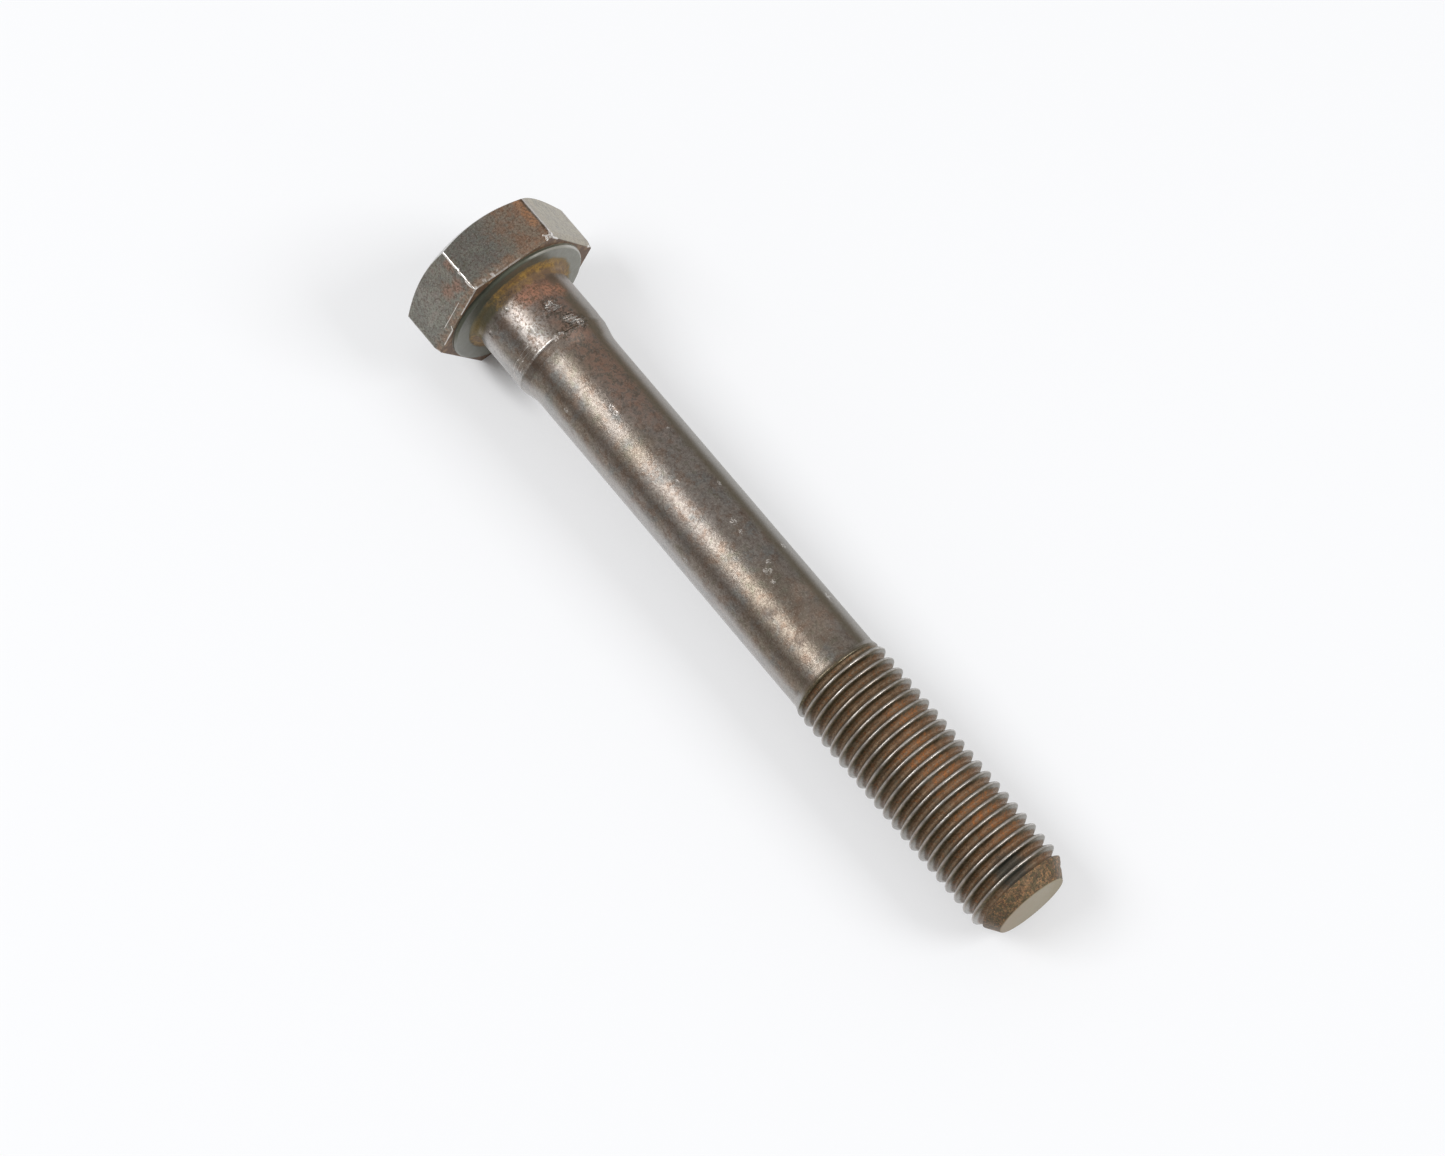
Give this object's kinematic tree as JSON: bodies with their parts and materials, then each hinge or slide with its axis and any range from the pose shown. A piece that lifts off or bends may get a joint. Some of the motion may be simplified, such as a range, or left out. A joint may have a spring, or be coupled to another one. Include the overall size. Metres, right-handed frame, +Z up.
{
  "type": "trailing arm bolt",
  "caption": "Hexagon head bolt with a washer face, a locating collar under the head, a reduced shank and a fine rolled thread with a chamfered tip, used and rusty.",
  "frame": {"origin": "centre of the footprint, on the surface that the bolt lies on", "axes": "+X along the bolt from the head to the tip, dipped 2.2 degrees towards the tip; +Z up, square to the head's lower flat but for that dip; +Y completes the right-handed set"},
  "size_m": [0.0978, 0.0218, 0.019],
  "materials": {
    "worn_steel": "dark brown phosphated steel with rust in the thread, under the head and round the collar, worn bright on the collar and the corners"
  },
  "bodies": {
    "root": {"trailing_arm_bolt": "worn_steel"}
  },
  "joints": []
}
